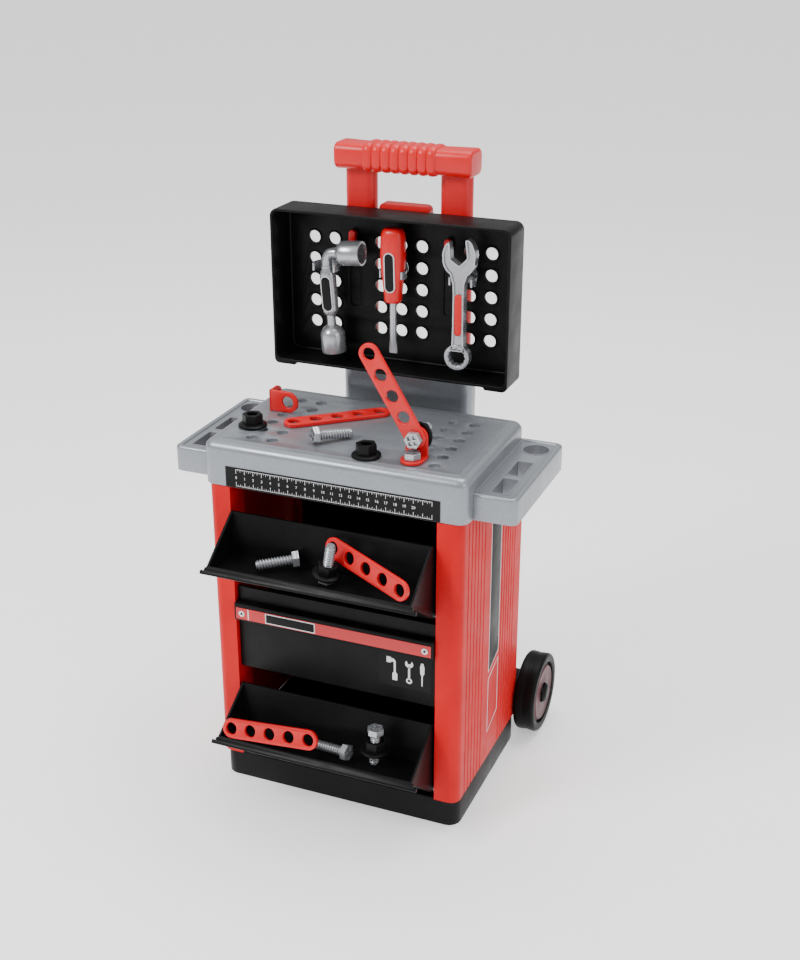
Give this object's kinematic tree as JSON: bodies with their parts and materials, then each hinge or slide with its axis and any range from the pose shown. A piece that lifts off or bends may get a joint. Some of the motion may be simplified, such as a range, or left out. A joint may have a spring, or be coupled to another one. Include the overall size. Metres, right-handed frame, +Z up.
{
  "type": "toy tool bench",
  "caption": "Toy tool trolley: red cabinet with two tilting bins, grey worktop with side wings, black peg panel with toy tools, telescoping pull handle and two rear wheels.",
  "frame": {"origin": "on the floor, under the middle of the overall box", "axes": "+Z up, +X to the right of someone facing the front, +Y from the front to the back, where the handle and wheels are"},
  "size_m": [0.3872, 0.3465, 0.6984],
  "materials": {
    "red_plastic": "injection-moulded, glossy",
    "black_plastic": "fine-textured, satin",
    "silver_plastic": "metallic flake, satin",
    "chromed_plastic": "silver-coloured plastic, satin",
    "steel": "turned rod",
    "label_black": "printed film",
    "label_red": "printed film",
    "wheel_hub": "dark red satin",
    "tyre": "moulded tread"
  },
  "bodies": {
    "bench": {"base_skirt": "black_plastic", "side_shell_left": "red_plastic", "side_shell_right": "red_plastic", "cabinet_back": "black_plastic", "cabinet_shelf": "black_plastic", "front_panel": "black_plastic", "front_panel_label": "label_black", "cross_bar": "black_plastic", "cross_bar_label": "label_red", "upper_bin_rod": "steel", "lower_bin_rod": "steel", "worktop": "silver_plastic", "ruler_label": "label_black", "handle_boot": "silver_plastic", "handle_channel": "black_plastic", "leg_collar": "black_plastic", "panel_saddle": "silver_plastic", "peg_panel": "black_plastic", "peg_left": "red_plastic", "peg_right": "red_plastic", "clip_left": "chromed_plastic", "clip_middle": "chromed_plastic", "clip_right": "chromed_plastic", "axle_housing": "black_plastic", "axle": "steel"},
    "pull_handle": {"handle_leg_left": "red_plastic", "handle_leg_right": "red_plastic", "handle_grip": "red_plastic"},
    "handle_release": {"release_tab": "red_plastic"},
    "upper_tilt_bin": {"upper_bin": "black_plastic", "strip_upper_bin": "red_plastic", "lying_bolt_upper_bin": "chromed_plastic", "standing_bolt_upper_bin": "chromed_plastic", "standing_nut_upper_bin": "black_plastic"},
    "lower_tilt_bin": {"lower_bin": "black_plastic", "strip_lower_bin": "red_plastic", "lying_bolt_lower_bin": "chromed_plastic", "standing_bolt_lower_bin": "chromed_plastic", "standing_nut_lower_bin": "black_plastic"},
    "left_wheel": {"wheel_left": "tyre", "wheel_disc_left": "wheel_hub", "wheel_cap_left": "black_plastic"},
    "right_wheel": {"wheel_right": "tyre", "wheel_disc_right": "wheel_hub", "wheel_cap_right": "black_plastic"},
    "hung_socket_wrench": {"socket_wrench": "chromed_plastic"},
    "hung_screwdriver": {"screwdriver_handle": "red_plastic", "screwdriver_blade": "chromed_plastic"},
    "hung_wrench": {"wrench": "chromed_plastic", "wrench_inlay": "red_plastic"},
    "bolted_bracket": {"bracket_bolted": "red_plastic", "bench_bolt": "chromed_plastic", "strip_bolt": "chromed_plastic", "strip_nut": "black_plastic"},
    "pinned_strip": {"strip_upright": "red_plastic"},
    "lying_strip": {"strip_flat": "red_plastic"},
    "lying_bracket": {"bracket_loose": "red_plastic"},
    "lying_bolt": {"loose_bolt_top": "chromed_plastic"},
    "left_nut": {"loose_nut_left": "black_plastic"},
    "front_nut": {"loose_nut_front": "black_plastic"}
  },
  "joints": [
    {"name": "handle_slide", "type": "slide", "parent": "bench", "child": "pull_handle", "axis": [0, 0, 1], "range_m": [-0.02, 0.12]},
    {"name": "release_press", "type": "slide", "parent": "bench", "child": "handle_release", "axis": [0, 0, -1], "range_m": [0, 0.0048], "stiffness_N_per_m": 450, "springref_m": -0.002},
    {"name": "upper_bin_tilt", "type": "hinge", "parent": "bench", "child": "upper_tilt_bin", "pos_m": [0, -0.10175, 0.258], "axis": [1, 0, 0], "range_deg": [-54.5, 0]},
    {"name": "lower_bin_tilt", "type": "hinge", "parent": "bench", "child": "lower_tilt_bin", "pos_m": [0, -0.10175, 0.044], "axis": [1, 0, 0], "range_deg": [-50.5, 0]},
    {"name": "left_wheel_spin", "type": "hinge", "parent": "bench", "child": "left_wheel", "pos_m": [-0.158, 0.12525, 0.048], "axis": [1, 0, 0], "continuous": true},
    {"name": "right_wheel_spin", "type": "hinge", "parent": "bench", "child": "right_wheel", "pos_m": [0.158, 0.12525, 0.048], "axis": [1, 0, 0], "continuous": true},
    {"name": "socket_wrench_pull", "type": "slide", "parent": "bench", "child": "hung_socket_wrench", "axis": [0, -1, 0], "range_m": [0, 0.06]},
    {"name": "screwdriver_pull", "type": "slide", "parent": "bench", "child": "hung_screwdriver", "axis": [0, -1, 0], "range_m": [0, 0.06]},
    {"name": "wrench_pull", "type": "slide", "parent": "bench", "child": "hung_wrench", "axis": [0, -1, 0], "range_m": [0, 0.06]},
    {"name": "bracket_swivel", "type": "hinge", "parent": "bench", "child": "bolted_bracket", "pos_m": [0.079, -0.07975, 0.4151], "axis": [0, 0, 1], "range_deg": [-75, 75]},
    {"name": "strip_pivot", "type": "hinge", "parent": "bolted_bracket", "child": "pinned_strip", "pos_m": [0.079, -0.07065, 0.4376], "axis": [0, 1, 0], "range_deg": [-48, 118]},
    {"name": "lying_strip_lift", "type": "slide", "parent": "bench", "child": "lying_strip", "axis": [0, 0, 1], "range_m": [0, 0.03]},
    {"name": "lying_bracket_lift", "type": "slide", "parent": "bench", "child": "lying_bracket", "axis": [0, 0, 1], "range_m": [0, 0.03]},
    {"name": "lying_bolt_lift", "type": "slide", "parent": "bench", "child": "lying_bolt", "axis": [0, 0, 1], "range_m": [0, 0.03]},
    {"name": "left_nut_lift", "type": "slide", "parent": "bench", "child": "left_nut", "axis": [0, 0, 1], "range_m": [0, 0.03]},
    {"name": "front_nut_lift", "type": "slide", "parent": "bench", "child": "front_nut", "axis": [0, 0, 1], "range_m": [0, 0.03]}
  ]
}
